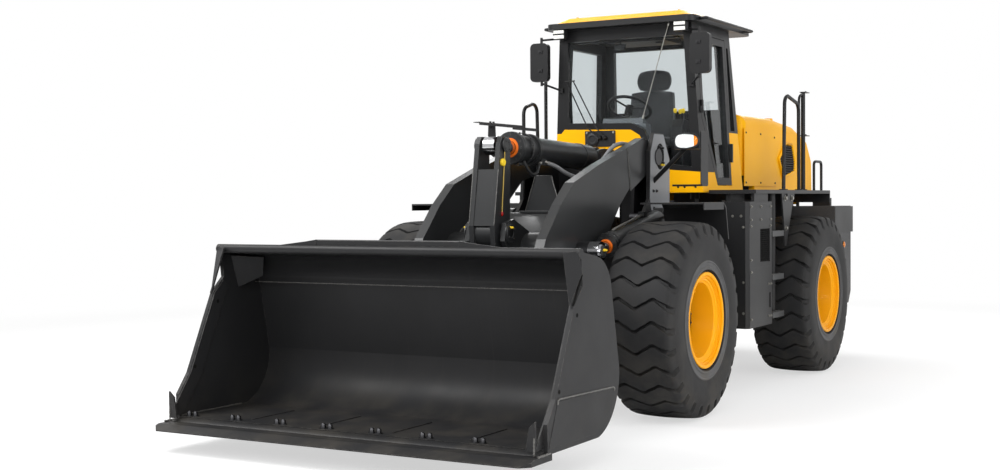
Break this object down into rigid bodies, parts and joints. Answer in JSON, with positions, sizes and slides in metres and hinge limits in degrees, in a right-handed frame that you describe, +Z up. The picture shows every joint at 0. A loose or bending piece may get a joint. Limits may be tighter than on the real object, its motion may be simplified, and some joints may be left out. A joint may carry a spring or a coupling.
{
  "type": "articulated wheel loader",
  "caption": "Articulated wheel loader with a boom, rocker linkage and open bucket, a glazed cab, a tilting hood and a tail counterweight.",
  "frame": {"origin": "on the ground under the middle of the machine's overall box, with the wheels standing on it", "axes": "+X forward to the bucket, +Y to the machine's left, +Z up"},
  "size_m": [8.68, 3.03, 3.505],
  "materials": {
    "black_paint": "semi-gloss",
    "yellow_paint": "gloss",
    "steel": "satin",
    "chrome": "polished",
    "tyre": "matt",
    "glass": "clear",
    "lens": "clear",
    "plastic": "grained",
    "iron": "painted"
  },
  "bodies": {
    "rear_body": {"rear_frame": "black_paint", "frame_pins": "steel", "axle_rear": "black_paint", "engine_block": "iron", "transmission": "black_paint", "radiator": "iron", "counterweight": "iron", "tail_lamps": "lens", "side_boxes": "black_paint", "decks": "black_paint", "steps": "black_paint", "handrails": "black_paint", "cab_shell": "yellow_paint", "cab_frame": "black_paint", "cab_glass": "glass", "cab_roof": "black_paint", "roof_cap": "yellow_paint", "mirrors": "black_paint", "roof_lamps": "black_paint", "seat": "plastic", "dash": "plastic", "steering_wheel": "plastic"},
    "cab_door": {"door": "black_paint", "door_glass": "glass"},
    "engine_hood": {"hood": "yellow_paint", "hood_grilles": "black_paint"},
    "front_body": {"front_frame": "black_paint", "tower_pins": "steel", "axle_front": "black_paint", "mudguards": "black_paint", "headlamps": "black_paint", "headlamp_lenses": "lens"},
    "boom_arm": {"boom": "black_paint", "boom_pins": "steel"},
    "rocker_arm": {"rocker": "black_paint", "rocker_pins": "black_paint"},
    "link": {"bucket_link": "black_paint"},
    "bucket_body": {"bucket": "black_paint", "bucket_pins": "steel", "cutting_edge": "black_paint"},
    "lift_barrel_pair": {"lift_barrels": "black_paint"},
    "lift_rod_pair": {"lift_rods": "chrome"},
    "dump_cylinder": {"dump_barrel": "black_paint"},
    "dump_piston": {"dump_rod": "chrome"},
    "steering_cylinder_left": {"steering_barrel_left": "black_paint"},
    "steering_piston_left": {"steering_rod_left": "chrome"},
    "wheel_front_left": {"tyre_front_left": "tyre", "rim_front_left": "yellow_paint"},
    "wheel_rear_left": {"tyre_rear_left": "tyre", "rim_rear_left": "yellow_paint"},
    "steering_cylinder_right": {"steering_barrel_right": "black_paint"},
    "steering_piston_right": {"steering_rod_right": "chrome"},
    "wheel_front_right": {"tyre_front_right": "tyre", "rim_front_right": "yellow_paint"},
    "wheel_rear_right": {"tyre_rear_right": "tyre", "rim_rear_right": "yellow_paint"}
  },
  "joints": [
    {"name": "articulation", "type": "hinge", "parent": "rear_body", "child": "front_body", "pos_m": [-0.5, 0, 0.9], "axis": [0, 0, 1], "range_deg": [-35, 35]},
    {"name": "front_left_spin", "type": "hinge", "parent": "front_body", "child": "wheel_front_left", "pos_m": [1.19, 1.155, 0.79], "axis": [0, 1, 0], "continuous": true},
    {"name": "front_right_spin", "type": "hinge", "parent": "front_body", "child": "wheel_front_right", "pos_m": [1.19, -1.155, 0.79], "axis": [0, 1, 0], "continuous": true},
    {"name": "rear_left_spin", "type": "hinge", "parent": "rear_body", "child": "wheel_rear_left", "pos_m": [-2.19, 1.155, 0.79], "axis": [0, 1, 0], "continuous": true},
    {"name": "rear_right_spin", "type": "hinge", "parent": "rear_body", "child": "wheel_rear_right", "pos_m": [-2.19, -1.155, 0.79], "axis": [0, 1, 0], "continuous": true},
    {"name": "boom_lift", "type": "hinge", "parent": "front_body", "child": "boom_arm", "pos_m": [0.29, 0, 2.13], "axis": [0, -1, 0], "range_deg": [-3.4, 70]},
    {"name": "bucket_tilt", "type": "hinge", "parent": "boom_arm", "child": "bucket_body", "pos_m": [2.84, 0, 0.46], "axis": [0, 1, 0], "range_deg": [-43, 112]},
    {"name": "rocker_swing", "type": "hinge", "parent": "boom_arm", "child": "rocker_arm", "pos_m": [2.14, 0, 1.5], "axis": [0, 1, 0], "range_deg": [-16, 6.5]},
    {"name": "link_swing", "type": "hinge", "parent": "bucket_body", "child": "link", "pos_m": [2.92, 0, 0.71], "axis": [0, -1, 0], "range_deg": [-35, 91]},
    {"name": "lift_cylinder_swing", "type": "hinge", "parent": "front_body", "child": "lift_barrel_pair", "pos_m": [0.47, 0, 1.6], "axis": [0, -1, 0], "range_deg": [-4, 71]},
    {"name": "lift_rod_slide", "type": "slide", "parent": "lift_barrel_pair", "child": "lift_rod_pair", "axis": [0.9815, 0, -0.1917], "range_m": [-0.035, 0.65]},
    {"name": "dump_cylinder_swing", "type": "hinge", "parent": "front_body", "child": "dump_cylinder", "pos_m": [0.29, 0, 2.13], "axis": [0, -1, 0], "range_deg": [-3.6, 71]},
    {"name": "dump_rod_slide", "type": "slide", "parent": "dump_cylinder", "child": "dump_piston", "axis": [0.9994, 0, 0.0333], "range_m": [-0.19, 0.075]},
    {"name": "steering_left_swing", "type": "hinge", "parent": "rear_body", "child": "steering_cylinder_left", "pos_m": [-1.35, 0.47, 0.92], "axis": [0, 0, 1], "range_deg": [-10, 10]},
    {"name": "steering_left_slide", "type": "slide", "parent": "steering_cylinder_left", "child": "steering_piston_left", "axis": [1, 0, 0], "range_m": [-0.29, 0.29]},
    {"name": "steering_right_swing", "type": "hinge", "parent": "rear_body", "child": "steering_cylinder_right", "pos_m": [-1.35, -0.47, 0.92], "axis": [0, 0, 1], "range_deg": [-10, 10]},
    {"name": "steering_right_slide", "type": "slide", "parent": "steering_cylinder_right", "child": "steering_piston_right", "axis": [1, 0, 0], "range_m": [-0.29, 0.29]},
    {"name": "door_swing", "type": "hinge", "parent": "rear_body", "child": "cab_door", "pos_m": [-0.538, 0.74239, 2.5], "axis": [0, 0.056, -0.9984], "range_deg": [0, 80]},
    {"name": "hood_tilt", "type": "hinge", "parent": "rear_body", "child": "engine_hood", "pos_m": [-3.87, 0, 1.705], "axis": [0, -1, 0], "range_deg": [0, 40]}
  ],
  "couplings": [
    {"joint": "rocker_swing", "follows": "bucket_tilt", "ratio": -0.14},
    {"joint": "link_swing", "follows": "bucket_tilt", "ratio": 0.803},
    {"joint": "dump_rod_slide", "follows": "bucket_tilt", "m_per_rad": -0.0956},
    {"joint": "lift_cylinder_swing", "follows": "boom_lift", "ratio": 1.005},
    {"joint": "lift_rod_slide", "follows": "boom_lift", "m_per_rad": 0.527},
    {"joint": "dump_cylinder_swing", "follows": "boom_lift", "ratio": 1},
    {"joint": "steering_left_swing", "follows": "articulation", "ratio": 0.2626},
    {"joint": "steering_left_slide", "follows": "articulation", "m_per_rad": -0.4663},
    {"joint": "steering_right_swing", "follows": "articulation", "ratio": 0.2626},
    {"joint": "steering_right_slide", "follows": "articulation", "m_per_rad": 0.4663}
  ]
}
